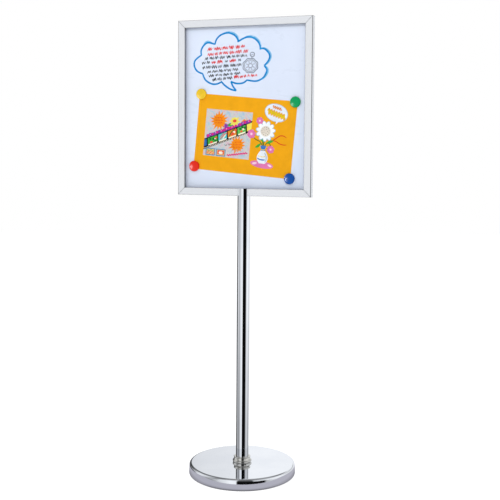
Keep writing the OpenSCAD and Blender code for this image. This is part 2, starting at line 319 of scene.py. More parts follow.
def moulded(name, dark, light, rough_low, rough_high, grain=500, depth=20 * UM):
    s = Surface(name)
    skin = s.noise(grain, detail=4)
    s.color(s.ramp(s.noise(45, detail=4), [(0.35, dark), (0.65, light)]))
    s.rough(s.span(skin, rough_low, rough_high))
    s.bump(skin, depth, 0.7)
    return s.material


ALUMINIUM_X = satin_aluminium("satin_aluminium_x", "x")
ALUMINIUM_Z = satin_aluminium("satin_aluminium_z", "z")
CHROME = chrome()
NICKEL = chrome("bright_nickel", (0.60, 0.585, 0.545, 1), (0.70, 0.685, 0.64, 1))
FINISH = {
    "bright_chrome": CHROME,
    "zinc_steel": zinc_steel(),
    "white_enamel": white_enamel(),
    "galvanised_back": galvanised(),
    "notice_paper": printed_paper("notice_paper", linear(238, 166, 20)),
    "cast_iron": cast_metal("cast_iron", (0.022, 0.023, 0.025, 1), (0.055, 0.056, 0.06, 1),
                            0.35, 180 * UM, 420),
    "cast_alloy": cast_metal("cast_alloy", (0.40, 0.41, 0.43, 1), (0.56, 0.57, 0.59, 1),
                             0.9, 60 * UM, 700),
    "ferrite": cast_metal("ferrite", (0.03, 0.03, 0.033, 1), (0.06, 0.06, 0.065, 1), 0.3, 20 * UM, 900),
    "black_rubber": moulded("black_rubber", (0.012, 0.012, 0.013, 1), (0.028, 0.028, 0.03, 1), 0.62, 0.85),
    "grey_nylon": moulded("grey_nylon", (0.26, 0.27, 0.28, 1), (0.33, 0.34, 0.35, 1), 0.40, 0.55),
    "core_board": moulded("core_board", linear(150, 122, 88), linear(188, 160, 122),
                          0.78, 0.92, 900, 60 * UM),
}
for plastic, shade in (("yellow_plastic", (234, 194, 44)), ("green_plastic", (0, 154, 86)),
                       ("red_plastic", (226, 42, 22)), ("blue_plastic", (12, 76, 158))):
    FINISH[plastic] = cap_plastic(plastic, linear(*shade))

# each CAD node gets the finish of its slot, and each rail the one with lines along its length
for name, node in NODES.items():
    if name in RAILS:
        finish = ALUMINIUM_Z if name in ("rail_left", "rail_right") else ALUMINIUM_X
    else:
        finish = FINISH[SLOT_OF[name]]
    for spot in node.material_slots:
        spot.material = finish

# the mitres and long edges of the extruded rails are slightly broken
for name in RAILS:
    rail = NODES[name]
    weld = rail.modifiers.new("weld", "WELD")
    weld.merge_threshold = 5 * UM
    edge = rail.modifiers.new("edge", "BEVEL")
    edge.width, edge.segments, edge.limit_method = 0.35 * MM, 2, "ANGLE"
    edge.angle_limit = math.radians(40)
    rail.modifiers.new("normals", "WEIGHTED_NORMAL")


# ---------- mesh helpers ----------

SHARP = 32  # edges of turned and drawn metal sharper than this, in degrees, stay sharp


def piece(name, verts, faces, material, body, smooth=None):
    """A mesh in the row frame, in metres, that rides on a body. smooth is the angle of its sharp edges."""
    mesh = bpy.data.meshes.new(name)
    mesh.from_pydata([tuple(v) for v in verts], [], faces)
    mesh.validate()
    mesh.update()
    mesh.materials.append(material)
    if smooth:
        mesh.shade_smooth()
        mesh.set_sharp_from_angle(angle=math.radians(smooth))
    obj = bpy.data.objects.new(name, mesh)
    bpy.context.scene.collection.objects.link(obj)
    if body:
        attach(obj, body)
    return obj


def lathe(name, outline, steps, material, body):
    """Turns a closed outline of (radius, height) points, in metres, about the post's axis."""
    verts, faces, n = [], [], len(outline)
    for k in range(steps):
        a = 2 * math.pi * k / steps
        verts += [(r * math.cos(a), r * math.sin(a), z) for r, z in outline]
    for k in range(steps):
        here, there = k * n, (k + 1) % steps * n
        faces += [(here + i, there + i, there + (i + 1) % n, here + (i + 1) % n) for i in range(n)]
    return piece(name, verts, faces, material, body, SHARP)


def arc(x, z, r, a0, a1, steps):
    """Points (radius, height) along an arc; angles in degrees."""
    turn = [math.radians(a0 + (a1 - a0) * i / steps) for i in range(steps + 1)]
    return [(x + r * math.cos(a), z + r * math.sin(a)) for a in turn]


# ---------- chromed pieces of the base and post ----------

def base_cover():
    """The pressed cover: flat top, rounded shoulder, flared side, rounded foot and a lip turned in."""
    thick, bolt_hole, shoulder, bead = 1 * MM, 7 * MM, 7.5 * MM, 5.5 * MM
    shoulder_x, bead_x = BASE_R - 8.4 * MM, BASE_R - bead
    shoulder_z, bead_z = BASE_TOP - shoulder, BASE_FOOT + bead
    lip = BASE_R - 7.5 * MM
    run, rise = shoulder_x - bead_x, shoulder_z - bead_z
    lean = math.degrees(math.atan2(rise, run) - math.acos((bead - shoulder) / math.hypot(run, rise)))

    def line(t, fine):
        flat = [(r, BASE_TOP - t) for r in (bolt_hole, bolt_hole + 3 * MM, shoulder_x - 2 * MM)]
        return (flat + arc(shoulder_x, shoulder_z, shoulder - t, 90, lean, fine)
                + arc(bead_x, bead_z, bead - t, lean, -90, fine) + [(lip, BASE_FOOT + t)])

    cover = lathe("base_cover_pressing", line(0, 24) + line(thick, 12)[::-1], 360, CHROME, "base")
    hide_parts("base_cover")


def foot_collar():
    """The sliding collar: a swelling at the foot, a hollow neck and a rolled rim."""
    foot, top, wide = COLLAR_LOW.z, COLLAR_HIGH.z, COLLAR_HIGH.x
    inner = POST_R + 0.3 * MM
    neck = POST_R + 5.0 * MM
    rim, swell = 1.2 * MM, 3.0 * MM
    swell_z = foot + 5.2 * MM
    outline = [(inner, foot + 0.4 * MM), (inner + 0.4 * MM, foot), (wide - 2.4 * MM, foot)]
    outline += arc(wide - 2.1 * MM, foot + 1.1 * MM, 1.1 * MM, -90, -20, 6)
    outline += arc(wide - swell, swell_z, swell, -35, 62, 14)
    start = outline[-1]
    for i in range(1, 11):
        t = i / 11
        sweep = (1 - t) ** 1.9
        outline.append((neck + (start[0] - neck) * sweep, start[1] + (top - 2.3 * rim - start[1]) * t))
    outline += arc(neck + 0.15 * MM, top - rim, rim, -60, 90, 12)
    outline += [(inner + 0.4 * MM, top), (inner, top - 0.4 * MM)]
    collar = lathe("foot_collar_turned", outline, 256, NICKEL, "collar")
    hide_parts("foot_collar")


def post_tube():
    """The tube, its top slotted into two ears that hold the lower rail, with its screw holes behind."""
    wall = 1.2 * MM
    bore = POST_R - wall
    slot = high("rail_bottom").y + 0.1 * MM
    ear_cols, gap_cols = 88, 56
    rings = []
    for r in (POST_R, bore):
        edge = math.asin(slot / r)
        turns = [edge + (math.pi - 2 * edge) * i / ear_cols for i in range(ear_cols)]
        turns += [math.pi - edge + 2 * edge * i / gap_cols for i in range(gap_cols)]
        rings.append(turns + [t + math.pi for t in turns])
    cols = len(rings[0])
    levels = [POST_FOOT, POST_FOOT + 1 * MM, FRAME_FOOT - 45 * MM, FRAME_FOOT - 1 * MM, FRAME_FOOT,
              FRAME_FOOT + 1 * MM, POST_TOP - 1 * MM, POST_TOP]
    verts = [(r * math.cos(a), r * math.sin(a), z)
             for z in levels for r, ring in zip((POST_R, bore), rings) for a in ring]

    def at(level, side, col):
        return (level * 2 + side) * cols + col % cols

    shoulder = levels.index(FRAME_FOOT)
    last = len(levels) - 1
    faces = []
    for c in range(cols):
        in_ear = c % (cols // 2) < ear_cols
        top = last if in_ear else shoulder
        for k in range(top):
            faces.append((at(k, 0, c), at(k, 0, c + 1), at(k + 1, 0, c + 1), at(k + 1, 0, c)))
            faces.append((at(k, 1, c + 1), at(k, 1, c), at(k + 1, 1, c), at(k + 1, 1, c + 1)))
        faces.append((at(top, 0, c), at(top, 0, c + 1), at(top, 1, c + 1), at(top, 1, c)))
        faces.append((at(0, 0, c + 1), at(0, 0, c), at(0, 1, c), at(0, 1, c + 1)))
    for start in (0, cols // 2):
        for c, flip in ((start, False), (start + ear_cols, True)):
            for k in range(shoulder, last):
                wall_face = (at(k, 0, c), at(k + 1, 0, c), at(k + 1, 1, c), at(k, 1, c))
                faces.append(wall_face[::-1] if flip else wall_face)
    tube = piece("post_tube_drawn", verts, faces, CHROME, None)
    clamp_z = (CLAMP_LOW.z + CLAMP_HIGH.z) / 2
    clamp_x = CLAMP_HIGH.x - 3.5 * MM
    set_z = [low("post_head_screws").z + 2.5 * MM, high("post_head_screws").z - 2.5 * MM]
    holes = [(x, clamp_z, 6 * MM) for x in (-clamp_x, clamp_x)] + [(0, z, 2.6 * MM) for z in set_z]
    for x, z, r in holes:
        bpy.ops.mesh.primitive_cylinder_add(vertices=64, radius=r, depth=16 * MM,
                                            location=(x, POST_R, z), rotation=(math.pi / 2, 0, 0))
        cutter = bpy.context.object
        cut = tube.modifiers.new("cut", "BOOLEAN")
        cut.object, cut.operation, cut.solver = cutter, "DIFFERENCE", "EXACT"
        bpy.context.view_layer.objects.active = tube
        bpy.ops.object.modifier_apply(modifier=cut.name)
        bpy.data.objects.remove(cutter)
    tube.data.shade_smooth()
    tube.data.set_sharp_from_angle(angle=math.radians(SHARP))
    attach(tube, "post_and_board")
    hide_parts("post_tube")


base_cover()
foot_collar()
post_tube()


# ---------- drawn and printed shapes ----------

LAYER = 0.03  # thickness of one printed or drawn layer, in mm
APART = 0.0005  # what sets two shapes of one layer apart, in mm, so that no two lie in one plane


class Sheet:
    """Thin closed shapes in one colour, laid on the board or on the notice."""

    def __init__(self, name, place, layer, material, body):
        self.name, self.place, self.material, self.body = name, place, material, body
        self.near, self.far = (layer + 1) * LAYER, layer * LAYER
        self.verts, self.faces = [], []

    def add(self, points):
        self.near += APART
        n0 = len(self.verts)
        self.verts += [self.place(x, y, self.near) for x, y in points]
        self.verts += [self.place(x, y, self.far) for x, y in points]
        return n0

    def shape(self, points):
        """A filled outline."""
        if area(points) < 0:
            points = points[::-1]
        n, s = len(points), self.add(points)
        self.faces.append(tuple(range(s, s + n)))
        self.faces.append(tuple(range(s + 2 * n - 1, s + n - 1, -1)))
        self.faces += [(s + i, s + n + i, s + n + (i + 1) % n, s + (i + 1) % n) for i in range(n)]
        return self

    def stroke(self, path, width, closed=False, taper=0.0):
        """A line drawn with a broad nib; taper narrows its two ends."""
        n = len(path)
        left, right = [], []
        for i, (x, y) in enumerate(path):
            before = path[i - 1] if i or closed else path[i]
            after = path[(i + 1) % n] if i < n - 1 or closed else path[i]
            a = unit(x - before[0], y - before[1])
            b = unit(after[0] - x, after[1] - y)
            if a == (0, 0):
                a = b
            if b == (0, 0):
                b = a
            m = unit(a[0] + b[0], a[1] + b[1])
            if m == (0, 0):
                m = a
            spread = min(1.5, 1 / max(0.4, m[0] * a[0] + m[1] * a[1]))
            t = i / max(1, n - 1)
            w = width / 2 * (1 - taper * abs(2 * t - 1) ** 3) * spread
            left.append((x - m[1] * w, y + m[0] * w))
            right.append((x + m[1] * w, y - m[0] * w))
        s = self.add(left + right)
        ln, rn, lf, rf = s, s + n, s + 2 * n, s + 3 * n
        for i in range(n if closed else n - 1):
            j = (i + 1) % n
            self.faces += [(rn + i, rn + j, ln + j, ln + i), (rf + j, rf + i, lf + i, lf + j),
                           (ln + i, ln + j, lf + j, lf + i), (rn + j, rn + i, rf + i, rf + j)]
        if not closed:
            self.faces += [(ln, lf, rf, rn), (ln + n - 1, rn + n - 1, rf + n - 1, lf + n - 1)]
        return self

    def done(self):
        return piece(self.name, self.verts, self.faces, self.material, self.body)


def unit(x, y):
    d = math.hypot(x, y)
    return (x / d, y / d) if d > 1e-9 else (0, 0)


def area(points):
    return sum(x0 * y1 - x1 * y0 for (x0, y0), (x1, y1) in zip(points, points[1:] + points[:1])) / 2


def rectangle(x0, y0, x1, y1):
    return [(x0, y0), (x1, y0), (x1, y1), (x0, y1)]


def ellipse(x, y, rx, ry, turn=0.0, steps=48):
    c, s = math.cos(math.radians(turn)), math.sin(math.radians(turn))
    out = []
    for i in range(steps):
        a = 2 * math.pi * i / steps
        p, q = rx * math.cos(a), ry * math.sin(a)
        out.append((x + p * c - q * s, y + p * s + q * c))
    return out


def through(points, steps=8, closed=False):
    """A smooth line through points."""
    n = len(points)
    out = []
    for i in range(n if closed else n - 1):
        near = [points[j % n] if closed else points[max(0, min(n - 1, j))] for j in range(i - 1, i + 3)]
        for k in range(steps):
            t = k / steps
            out.append(tuple(0.5 * (2 * b + (c - a) * t + (2 * a - 5 * b + 4 * c - d) * t * t
                                    + (3 * b - a - 3 * c + d) * t ** 3) for a, b, c, d in zip(*near)))
    if not closed:
        out.append(points[-1])
    return out


def scribble(rng, start, end, tall, pitch=2.9):
    """Wavy strokes along a row, in groups, that stand for handwriting without being any."""
    length = math.hypot(end[0] - start[0], end[1] - start[1])
    ux, uy = unit(end[0] - start[0], end[1] - start[1])
    strokes, at = [], 0.0
    while at < length - 3:
        group = min(rng.uniform(0.9, 2.2) * tall, length - at)
        points, step, side = [], 0.0, rng.choice((-1, 1))
        lean = rng.uniform(-0.5, 1.2)
        while step <= group:
            reach = side * tall / 2 * rng.uniform(0.45, 1.0)
            x, y = at + step + lean * reach * 0.3, reach
            points.append((start[0] + ux * x - uy * y, start[1] + uy * x + ux * y))
            step += pitch * rng.uniform(0.7, 1.15)
            side = -side
        if len(points) > 2:
            strokes.append(through(points, 4))
        at += group + rng.uniform(0.24, 0.36) * tall
    return strokes


def wave(start, end, tall, humps):
    """A plain even wavy line."""
    length = math.hypot(end[0] - start[0], end[1] - start[1])
    ux, uy = unit(end[0] - start[0], end[1] - start[1])
    points, steps = [], 12
    for i in range(steps * humps + 1):
        x, y = length * i / (steps * humps), tall / 2 * math.sin(2 * math.pi * i / steps)
        points.append((start[0] + ux * x - uy * y, start[1] + uy * x + ux * y))
    return points


# ---------- the speech cloud drawn on the board ----------

def marked(name, layer, shade, color, pale):
    material = marker_ink("marker_" + shade, linear(*color), linear(*pale))
    return Sheet("marker_" + name, on_board, layer, material, "post_and_board")


def board_drawing():
    rng = random.Random(41)
    lobes = [through(points, 7) for points in (
        [(-96, 189), (-90, 205), (-76, 217), (-54, 222), (-34, 215), (-24, 203), (-22, 194)],
        [(-22, 195), (-8, 203), (10, 208), (29, 203), (44, 188), (48, 172)],
        [(45, 172), (58, 173), (70, 164), (77, 151), (72, 136), (60, 123)],
        [(60, 123), (68, 112), (66, 101), (56, 87), (39, 79), (22, 79), (7, 82)],
        [(7, 82), (-5, 74), (-22, 72), (-36, 75), (-44, 79)],
        [(-44, 79), (-38, 65), (-27, 51)],
        [(-27, 51), (-46, 56), (-63, 67), (-74, 78)],
        [(-72, 79), (-89, 72), (-107, 73), (-126, 85), (-135, 103)],
        [(-134, 103), (-152, 111), (-162, 127), (-159, 144), (-139, 159)],
        [(-139, 158), (-140, 172), (-132, 187), (-118, 195), (-96, 190)],
    )]
    outline = marked("cloud", 1, "blue", (0, 132, 204), (52, 164, 222))
    for path in lobes:
        outline.stroke(path, 5.2, taper=0.1)
    outline.done()

    # hatching outside some lobes: which lobe, and the part of it from 0 to 1
    shade = marked("cloud_shading", 0, "pale_blue", (128, 190, 228), (190, 220, 240))
    for index, start, end in ((0, 0.42, 0.96), (1, 0.3, 1.0), (2, 0.12, 1.0), (3, 0.0, 0.55), (9, 0.55, 0.9)):
        last = len(lobes[index]) - 1
        path = lobes[index][int(start * last):int(end * last) + 1]
        outer = []
        for i, (x, y) in enumerate(path):
            before, after = path[max(0, i - 1)], path[min(len(path) - 1, i + 1)]
            t = unit(after[0] - before[0], after[1] - before[1])
            out = 4.6 * math.sin(math.pi * (0.12 + 0.76 * i / (len(path) - 1)))
            outer.append((x - t[1] * out, y + t[0] * out))
        shade.stroke(outer, 3.6, taper=0.5)
        for i in range(0, len(path) - 1, 2):
            x, y = path[i]
            ox, oy = outer[i]
            shade.stroke([(x, y), ((x + ox) / 2 + 0.4, (y + oy) / 2), (ox, oy)], 1.5)
    shade.done()

    # rows of strokes: their sheet, start, end, height and width
    black = marked("notes_black", 0, "black", (38, 42, 50), (92, 98, 108))
    red = marked("notes_red", 1, "red", (226, 44, 40), (240, 104, 96))
    rows = [
        (red, (-118, 175), (10, 182), 11.0, 2.3), (red, (-119, 160), (14, 167), 10.5, 2.3),
        (black, (-127, 148), (7, 154), 9.0, 2.0), (black, (-137, 135), (-109, 138), 9.0, 2.0),
        (red, (-106, 136), (-66, 139), 9.8, 2.5), (black, (-63, 138), (-52, 139), 8.4, 2.0),
        (red, (-49, 139), (-24, 141), 10.4, 2.9), (black, (-21, 140), (-12, 142), 8.4, 2.0),
        (black, (-135, 121), (-9, 128), 9.2, 2.1), (black, (-119, 108), (-13, 115), 9.0, 2.1),
        (black, (-115, 96), (-15, 103), 8.8, 2.1), (black, (-103, 85), (-36, 90), 9.4, 2.2),
        (red, (-34, 92), (-19, 93), 11.2, 3.0), (red, (-16, 92), (38, 96), 8.2, 2.4),
    ]
    for sheet, start, end, tall, width in rows:
        for path in scribble(rng, start, end, tall):
            sheet.stroke(path, width * rng.uniform(0.85, 1.15), taper=0.2)
    black.done()
    red.done()

    # a round flower with a double outline, and a bud above it
    doodle = marked("flower", 1, "grey", (70, 82, 100), (124, 136, 152))
    x, y = 17.0, 124.0
    for scale, width in ((1.0, 2.0), (0.80, 1.6)):
        edge = []
        for k in range(144):
            a = 2 * math.pi * k / 144
            r = scale * (20.6 + 2.9 * abs(math.sin(4 * a)))
            edge.append((x + 1.04 * r * math.cos(a), y + 0.94 * r * math.sin(a)))
        doodle.stroke(edge, width, closed=True)
    doodle.stroke(ellipse(x, y, 6.4, 6.2, steps=28), 1.8, closed=True)
    for k in range(8):
        a = 2 * math.pi * (k + 0.5) / 8
        doodle.stroke([(x + r * math.cos(a), y + r * math.sin(a)) for r in (8.5, 11.5, 15.0)], 2.2, taper=0.4)
    doodle.stroke(through([(20, y + 20), (21.5, y + 23), (22, y + 26)]), 2.0)
    doodle.stroke(ellipse(23, y + 32.5, 6.8, 6.6, steps=28), 1.9, closed=True)
    doodle.stroke(through([(19, y + 29.5), (23, y + 33), (27, y + 29.5)]), 1.4)
    doodle.done()


# ---------- the pictures printed on the notice ----------

PALETTE = {
    "sun": (241, 140, 22), "sun_deep": (226, 92, 24), "black": (26, 24, 28), "river": (46, 110, 176),
    "meadow": (66, 168, 58), "sky": (84, 200, 206), "amber": (226, 140, 40), "leaf": (92, 186, 84),
    "lemon": (240, 224, 96), "cream": (246, 236, 214), "coral": (232, 84, 56), "pine": (28, 104, 46),
    "violet": (132, 62, 158), "magenta": (226, 32, 122), "pink": (244, 160, 206),
    "teal": (44, 138, 178), "peach": (232, 178, 118), "haze": (150, 190, 214), "slate": (92, 92, 104),
    "rose": (222, 120, 176), "blush": (244, 206, 226), "porcelain": (232, 238, 246),
    "mist": (176, 190, 214), "cobalt": (58, 120, 196), "gold": (238, 206, 40), "white": (243, 246, 250),
    "bone": (226, 217, 203), "umber": (74, 60, 58), "plum": (186, 72, 138), "rust": (214, 66, 28),
    "pale": (228, 234, 246),
}
INKS = {}


def printed(name, layer, shade):
    """A sheet of shapes printed on the notice in one ink of the palette."""
    if shade not in INKS:
        INKS[shade] = printed_paper("ink_" + shade, linear(*PALETTE[shade]), 0.09)
    return Sheet("print_" + name, on_sheet, layer, INKS[shade], "notice")


def burst(x, y, core, reach, spikes, seed):
    """A jagged sun: short rays of uneven length."""
    rng = random.Random(seed)
    out = []
    for k in range(spikes):
        a = 2 * math.pi * k / spikes
        long = reach * rng.uniform(0.78, 1.12)
        wide = math.pi / spikes * 0.96
        out += [(x + core * math.cos(a - wide), y + core * math.sin(a - wide)),
                (x + long * math.cos(a), y + long * math.sin(a)),
                (x + core * math.cos(a + wide), y + core * math.sin(a + wide))]
    return out


def notice_picture():
    rng = random.Random(12)
    left, right, foot, head = -127.2, 20.0, -69.7, 70.5
    panel = Sheet("print_panel", on_sheet, 0, pastel_ground(), "notice")
    panel.shape(rectangle(left, foot, right, head)).done()

    orange = printed("suns", 1, "sun")
    orange.shape(burst(-84.2, 38, 18.5, 31, 15, 3)).shape(burst(-21, -29.5, 17, 27, 14, 5))
    orange.shape([(-14, 40), (-6, 49), (3, 45), (1, 53), (9, 42), (2, 38)])
    orange.done()
    deep = printed("sun_marks", 2, "sun_deep")
    for x, y in ((-84.2, 38), (-21, -29.5)):
        for k in range(-1, 2):
            for path in scribble(rng, (x - 13, y + 7.5 * k), (x + 13, y + 7.5 * k + 2), 4.6, 2.6):
                deep.stroke(path, 1.5)
    deep.done()

    # a ribbon of picture tiles that rises to the right
    low_l, low_r = (left, -52.7), (right, 9.6)
    high_l, high_r = (left, -14.4), (right, 48.8)

    def along(s, t):
        """s runs along the ribbon and t across it, both from 0 to 1."""
        lo = tuple(low_l[d] + (low_r[d] - low_l[d]) * s for d in (0, 1))
        hi = tuple(high_l[d] + (high_r[d] - high_l[d]) * s for d in (0, 1))
        return tuple(lo[d] + (hi[d] - lo[d]) * t for d in (0, 1))

    def slab(s0, s1, t0, t1):
        lean = -0.035
        return [(max(left, min(right, x)), y) for x, y in
                (along(s0 + lean * t0, t0), along(s1 + lean * t0, t0), along(s1 + lean * t1, t1),
                 along(s0 + lean * t1, t1))]

    printed("ribbon", 1, "black").shape(slab(0, 1.04, 0, 0.92)).done()
    tiles = [
        (0.015, 0.075, "river"), (0.10, 0.30, "meadow"),
        (0.325, 0.50, "sky"), (0.525, 0.70, "amber"),
        (0.725, 0.895, "leaf"), (0.92, 1.04, "lemon"),
    ]
    for k, (s0, s1, material) in enumerate(tiles):
        printed(f"tile_{k}", 2, material).shape(slab(s0, s1, 0.24, 0.78)).done()
    pale = printed("tile_lights", 3, "cream")
    for s0, s1 in ((0.11, 0.29), (0.335, 0.49), (0.535, 0.69), (0.735, 0.885)):
        pale.shape(slab(s0, s1, 0.17, 0.28))
        span = s1 - s0
        pale.shape(slab(s0 + span * 0.62, s0 + span * 0.9, 0.45, 0.62))
    pale.shape([along(0.39, 0.30), along(0.42, 0.30), along(0.47, 0.62), along(0.445, 0.64)])
    for k in range(30):
        s = 0.012 + k * 0.0335
        pale.shape(slab(s, s + 0.016, 0.055, 0.115))
    pale.done()
    warm = printed("tile_marks", 4, "coral")
    for s, t, r in ((0.16, 0.36, 3.4), (0.255, 0.6, 2.8), (0.60, 0.45, 4.4), (0.665, 0.66, 3.0),
                    (0.79, 0.4, 3.0)):
        warm.shape(ellipse(*along(s, t), r * 1.4, r, 24, 20))
    warm.stroke(through([along(0.345, 0.36), along(0.40, 0.52), along(0.485, 0.70)]), 2.6)
    warm.stroke(through([along(0.345, 0.55), along(0.39, 0.66), along(0.42, 0.74)]), 2.0)
    warm.done()
    dark = printed("tile_shadows", 4, "pine")
    for s, t in ((0.13, 0.66), (0.20, 0.56), (0.245, 0.40), (0.76, 0.62), (0.80, 0.70), (0.85, 0.60)):
        dark.shape(burst(*along(s, t), 2.6, 5.6, 7, int(s * 100)))
    dark.stroke(through([along(0.54, 0.32), along(0.58, 0.62), along(0.64, 0.74)]), 2.6)
    dark.done()

    # a magenta braid along the ribbon's upper edge
    purple = printed("braid_shadow", 2, "violet")
    braid = printed("braid", 3, "magenta")
    for k in range(19):
        s = 0.07 + k * 0.0485
        t = 0.985 + 0.02 * math.sin(k * 1.7)
        bead = ellipse(*along(s, t), 5.0, 5.2, 24, 20)
        purple.shape([(min(right - 0.5, x), y) for x, y in bead])
        if k % 2 == 0 or 6 < k < 12:
            bead = ellipse(*along(s + 0.004, t + 0.01), 3.6, 3.2, 30, 18)
            braid.shape([(min(right - 0.5, x), y) for x, y in bead])
    purple.shape(burst(-61, 24, 5, 11, 9, 8))
    purple.done()
    braid.done()
    sparks = printed("braid_sparks", 4, "pink")
    for k in range(8):
        sparks.shape(ellipse(*along(0.12 + k * 0.115, 1.005), 1.9, 1.3, 30, 14))
    sparks.done()

    # a bright bloom above the ribbon
    printed("bloom_leaf", 2, "meadow").shape(
        through([(-56, 24), (-52, 32), (-44, 34), (-40, 30), (-46, 24)], 5, True)).done()
    printed("bloom", 3, "lemon").shape(burst(-35, 40, 11, 17, 8, 2)).done()
    printed("bloom_heart", 4, "coral").shape(ellipse(-35, 41, 6.2, 4.6, 12, 24)).done()

    # two small pictures at the lower left
    rim = printed("small_rims", 2, "teal")
    fill = printed("small_fields", 3, "peach")
    for x in (-104, -70.6):
        rim.shape(rectangle(x - 15.5, -68, x + 15, -46.5))
        fill.shape(rectangle(x - 13, -65.5, x + 12.5, -49))
    rim.done()
    fill.done()
    marks = printed("small_marks", 4, "coral")
    greens = printed("small_leaves", 4, "leaf")
    for k in range(7):
        marks.shape(ellipse(-114 + k * 3.7, -60 + 4 * math.sin(k * 2.1), 2.0, 1.6, 0, 14))
        greens.shape(ellipse(-115 + k * 3.5, -53.2 + 2.0 * math.cos(k * 1.7), 1.8, 1.4, 0, 14))
    marks.shape(rectangle(-81, -62, -60.5, -51))
    marks.done()
    greens.done()
    printed("small_light", 5, "cream").shape(ellipse(-70.5, -57.5, 6.8, 4.2, 0, 24)).done()

    # wavy lines at the lower right
    line = printed("wave_magenta", 2, "magenta")
    line.stroke(wave((-50, -63.5), (14, -50.5), 3.4, 9), 3.2)
    line.done()
    line = printed("wave_blue", 2, "haze")
    for row in (0, 5.5):
        for path in scribble(rng, (-49, -56.5 + row), (14, -43 + row), 3.2, 3.2):
            line.stroke(path, 1.5)
    line.done()
    line = printed("wave_dark", 2, "slate")
    for path in scribble(rng, (-60, -34), (-42, -29), 7, 4.0):
        line.stroke(path, 1.5)
    for path in scribble(rng, (-10, 50), (4, 55), 3.4, 3.0):
        line.stroke(path, 1.3)
    line.done()


def petals(x, y, ring, long, wide, count, turn):
    out = []
    for k in range(count):
        a = 360 / count * k + turn
        c, s = math.cos(math.radians(a)), math.sin(math.radians(a))
        out.append(ellipse(x + ring * c, y + ring * s, long, wide, a, 22))
    return out


def notice_bouquet():
    """A white vase of round blossoms on an oval mat."""
    mat = printed("mat", 0, "rose")
    mat.shape(ellipse(62, -80, 36, 10.5, -5, 64)).done()
    mat = printed("mat_light", 1, "blush")
    mat.shape(ellipse(39, -78, 7.5, 3.4, 12, 24)).shape(ellipse(87, -81, 7, 3.2, -20, 24)).done()
    vase = printed("vase", 1, "porcelain")
    vase.shape(through([(53, -77), (46.5, -68), (45, -58), (49, -47), (54.5, -39), (55, -31), (52, -25),
                        (72, -25), (69, -31), (69.5, -39), (75, -47), (79, -58), (77.5, -68),
                        (71, -77)], 6)).done()
    shade = printed("vase_shade", 2, "mist")
    shade.stroke(through([(71, -73), (74.5, -64), (73.5, -54), (67.5, -44)]), 3.4, taper=0.5)
    shade.done()
    band = printed("vase_bands", 2, "cobalt")
    band.shape(through([(54.7, -39), (55.2, -31), (52.5, -24.5), (71.5, -24.5), (68.8, -31), (69.3, -39)], 5))
    band.stroke(through([(46.5, -62), (55, -65.5), (66, -66), (70, -65)]), 3.6, taper=0.2)
    band.done()
    spots = printed("vase_spots", 3, "gold")
    for k in range(5):
        spots.shape(ellipse(50.5 + k * 4.6, -55.5 - 1.4 * math.sin(k * 0.75), 1.5, 1.9, 0, 14))
    spots.stroke(through([(55.5, -35), (62, -36.5), (68.8, -35)]), 2.4)
    spots.done()
    stem = printed("stems", 1, "pine")
    stem.stroke(through([(60, -26), (50, -13), (36, -7), (24, 2)]), 2.4)
    stem.stroke(through([(65, -26), (72, -16), (81, -17), (85, -28)]), 2.4)
    stem.stroke(through([(62, -26), (55, 0), (48, 24), (44, 46)]), 2.4)
    stem.stroke(through([(62, -26), (63, -12), (65, 4)]), 2.4)
    leaf = printed("leaves", 2, "meadow")
    for points in ([(54, -18), (44, -22), (36, -31), (47, -30)], [(70, -16), (80, -7), (92, -6), (84, -14)],
                   [(62, -14), (56, -3), (48, 2), (53, -9)]):
        leaf.shape(through(points, 6, True))
    stem.done()
    leaf.done()

    # the big bloom
    rim = printed("petal_rims", 3, "haze")
    white = printed("petals", 4, "white")
    for loop in petals(64.8, 19.1, 18.5, 12.6, 7.2, 11, 8):
        rim.shape(loop)
    for loop in petals(64.8, 19.6, 18.3, 11.0, 5.9, 11, 8):
        white.shape(loop)
    rim.done()
    white.done()
    printed("bloom_disc", 5, "bone").shape(ellipse(64.8, 19.1, 15.5, 15.5)).done()
    seeds = printed("bloom_seeds", 6, "umber")
    for ring, count in ((5, 5), (10.5, 11)):
        for k in range(count):
            a = 2 * math.pi * k / count + ring
            x, y = 64.8 + ring * math.cos(a), 19.1 + ring * math.sin(a)
            seeds.stroke([(x, y), (x + 1.9 * math.cos(a), y + 1.9 * math.sin(a))], 1.5)
    seeds.done()

    # three pink blossoms
    folds = printed("blossom_folds", 4, "plum")
    leafy = printed("blossoms", 5, "rose")
    hearts = printed("blossom_hearts", 6, "blush")
    for x, y, r in ((21.3, 7.5, 13.6), (85.3, -33.1, 11.8), (44.0, 48.5, 11.0)):
        folds.shape(ellipse(x, y, r * 0.9, r * 0.9, 0, 32))
        for loop in petals(x, y, r * 0.56, r * 0.46, r * 0.36, 6, 15):
            leafy.shape(loop)
        hearts.shape(ellipse(x, y, r * 0.27, r * 0.27, 0, 24))
    for sheet in (folds, leafy, hearts):
        sheet.done()

    tendril = printed("tendrils", 1, "rust")
    tendril.stroke(through([(74, -8), (88, -6), (98, 0), (110, 9), (122, 10), (131, 5)]), 3.0, taper=0.5)
    tendril.stroke(through([(88, -6), (100, -8), (112, -14), (124, -16), (133, -15)]), 2.8, taper=0.5)
    tendril.done()


